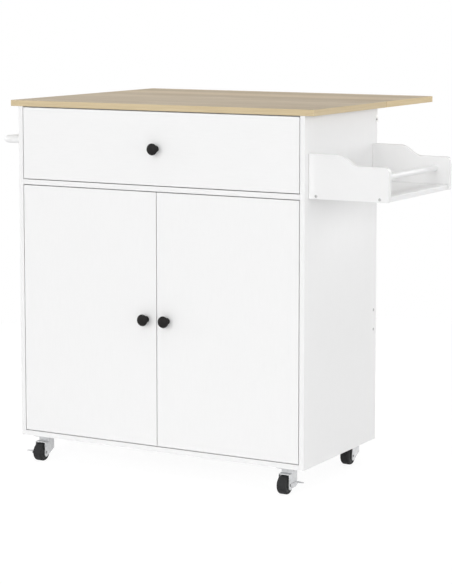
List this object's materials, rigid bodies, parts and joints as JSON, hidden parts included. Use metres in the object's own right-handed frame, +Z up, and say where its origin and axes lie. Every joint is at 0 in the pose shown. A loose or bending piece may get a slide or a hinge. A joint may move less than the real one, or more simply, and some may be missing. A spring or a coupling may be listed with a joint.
{
  "type": "drop leaf kitchen island",
  "caption": "White kitchen island on casters with a wood-look worktop, rear drop leaf, drawer over inset doors, side spice rack and towel bar.",
  "frame": {"origin": "on the floor, below the centre of the footprint that runs from the towel bar to the spice rack and from the knobs to the raised leaf's rear edge", "axes": "+Z up, -Y to the front with the drawer and doors, +X to the side with the spice rack"},
  "size_m": [1.082, 0.7092, 0.915],
  "materials": {
    "white_board": "white laminate with a faint wood grain emboss, satin",
    "inner_board": "plain white foil, matt",
    "oak_laminate": "light oak look laminate, satin, grain along the width",
    "white_paint": "white paint, satin",
    "white_tube": "white powder coat",
    "black_knob": "black, satin",
    "caster_zinc": "bright zinc on stamped steel",
    "fitting_steel": "nickel plated steel, satin",
    "tyre": "black rubber tyre on a black hub"
  },
  "bodies": {
    "cabinet": {"side_panel_left": "white_board", "side_panel_right": "white_board", "bottom_panel": "white_board", "divider_panel": "white_board", "front_top_rail": "inner_board", "rear_top_rail": "inner_board", "rear_mid_rail": "inner_board", "back_panel": "white_board", "cupboard_shelf": "white_board", "worktop": "oak_laminate", "towel_bar": "white_tube", "rack_board_front": "white_paint", "rack_board_rear": "white_paint", "rack_shelf": "white_paint", "rack_rail": "white_paint", "runner_cabinet_left": "fitting_steel", "runner_cabinet_right": "fitting_steel", "hinge_arm_left_lower": "fitting_steel", "hinge_arm_left_upper": "fitting_steel", "hinge_arm_right_lower": "fitting_steel", "hinge_arm_right_upper": "fitting_steel", "leaf_hinge_fixed": "fitting_steel", "stay_bracket_left": "fitting_steel", "stay_bracket_right": "fitting_steel", "caster_plate_front_left": "caster_zinc", "caster_plate_front_right": "caster_zinc", "caster_plate_rear_left": "caster_zinc", "caster_plate_rear_right": "caster_zinc"},
    "drawer": {"drawer_front": "white_board", "drawer_side_left": "inner_board", "drawer_side_right": "inner_board", "drawer_back": "inner_board", "drawer_bottom": "inner_board", "drawer_knob": "black_knob", "runner_drawer_left": "fitting_steel", "runner_drawer_right": "fitting_steel"},
    "door_left": {"door_left": "white_board", "door_knob_left": "black_knob", "hinge_cup_left_lower": "fitting_steel", "hinge_cup_left_upper": "fitting_steel"},
    "door_right": {"door_right": "white_board", "door_knob_right": "black_knob", "hinge_cup_right_lower": "fitting_steel", "hinge_cup_right_upper": "fitting_steel"},
    "leaf": {"drop_leaf": "oak_laminate", "leaf_hinge_moving": "fitting_steel", "stay_track_left": "fitting_steel", "stay_track_right": "fitting_steel"},
    "stay_left": {"stay_bar_left": "fitting_steel"},
    "stay_right": {"stay_bar_right": "fitting_steel"},
    "fork_front_left": {"caster_fork_front_left": "caster_zinc"},
    "wheel_front_left": {"caster_wheel_front_left": "tyre"},
    "fork_front_right": {"caster_fork_front_right": "caster_zinc"},
    "wheel_front_right": {"caster_wheel_front_right": "tyre"},
    "fork_rear_left": {"caster_fork_rear_left": "caster_zinc"},
    "wheel_rear_left": {"caster_wheel_rear_left": "tyre"},
    "fork_rear_right": {"caster_fork_rear_right": "caster_zinc"},
    "wheel_rear_right": {"caster_wheel_rear_right": "tyre"},
    "pedal_left": {"brake_pedal_left": "caster_zinc"},
    "pedal_right": {"brake_pedal_right": "caster_zinc"}
  },
  "joints": [
    {"name": "drawer_slide", "type": "slide", "parent": "cabinet", "child": "drawer", "axis": [0, -1, 0], "range_m": [0, 0.28]},
    {"name": "door_left_hinge", "type": "hinge", "parent": "cabinet", "child": "door_left", "pos_m": [-0.4555, -0.32935, 0.39], "axis": [0, 0, -1], "range_deg": [0, 105]},
    {"name": "door_right_hinge", "type": "hinge", "parent": "cabinet", "child": "door_right", "pos_m": [0.3215, -0.32935, 0.39], "axis": [0, 0, 1], "range_deg": [0, 105]},
    {"name": "leaf_drop", "type": "hinge", "parent": "cabinet", "child": "leaf", "pos_m": [-0.067, 0.06535, 0.8973], "axis": [-1, 0, 0], "range_deg": [0, 90]},
    {"name": "stay_left_hinge", "type": "hinge", "parent": "cabinet", "child": "stay_left", "pos_m": [-0.367, 0.06585, 0.817], "axis": [-1, 0, 0], "range_deg": [0, 120]},
    {"name": "stay_right_hinge", "type": "hinge", "parent": "cabinet", "child": "stay_right", "pos_m": [0.233, 0.06585, 0.817], "axis": [-1, 0, 0], "range_deg": [0, 120]},
    {"name": "swivel_front_left", "type": "hinge", "parent": "cabinet", "child": "fork_front_left", "pos_m": [-0.416, -0.30285, 0.05], "axis": [0, 0, 1], "continuous": true},
    {"name": "roll_front_left", "type": "hinge", "parent": "fork_front_left", "child": "wheel_front_left", "pos_m": [-0.416, -0.32135, 0.0225], "axis": [1, 0, 0], "continuous": true},
    {"name": "swivel_front_right", "type": "hinge", "parent": "cabinet", "child": "fork_front_right", "pos_m": [0.282, -0.30285, 0.05], "axis": [0, 0, 1], "continuous": true},
    {"name": "roll_front_right", "type": "hinge", "parent": "fork_front_right", "child": "wheel_front_right", "pos_m": [0.282, -0.32135, 0.0225], "axis": [1, 0, 0], "continuous": true},
    {"name": "swivel_rear_left", "type": "hinge", "parent": "cabinet", "child": "fork_rear_left", "pos_m": [-0.416, 0.04015, 0.05], "axis": [0, 0, 1], "continuous": true},
    {"name": "roll_rear_left", "type": "hinge", "parent": "fork_rear_left", "child": "wheel_rear_left", "pos_m": [-0.416, 0.02165, 0.0225], "axis": [1, 0, 0], "continuous": true},
    {"name": "swivel_rear_right", "type": "hinge", "parent": "cabinet", "child": "fork_rear_right", "pos_m": [0.282, 0.04015, 0.05], "axis": [0, 0, 1], "continuous": true},
    {"name": "roll_rear_right", "type": "hinge", "parent": "fork_rear_right", "child": "wheel_rear_right", "pos_m": [0.282, 0.02165, 0.0225], "axis": [1, 0, 0], "continuous": true},
    {"name": "brake_left", "type": "hinge", "parent": "fork_front_left", "child": "pedal_left", "pos_m": [-0.4326, -0.30885, 0.0225], "axis": [1, 0, 0], "range_deg": [0, 12]},
    {"name": "brake_right", "type": "hinge", "parent": "fork_front_right", "child": "pedal_right", "pos_m": [0.2986, -0.31485, 0.0225], "axis": [-1, 0, 0], "range_deg": [0, 12]}
  ],
  "couplings": [
    {"joint": "stay_left_hinge", "follows": "leaf_drop", "ratio": 1.3333},
    {"joint": "stay_right_hinge", "follows": "leaf_drop", "ratio": 1.3333}
  ]
}
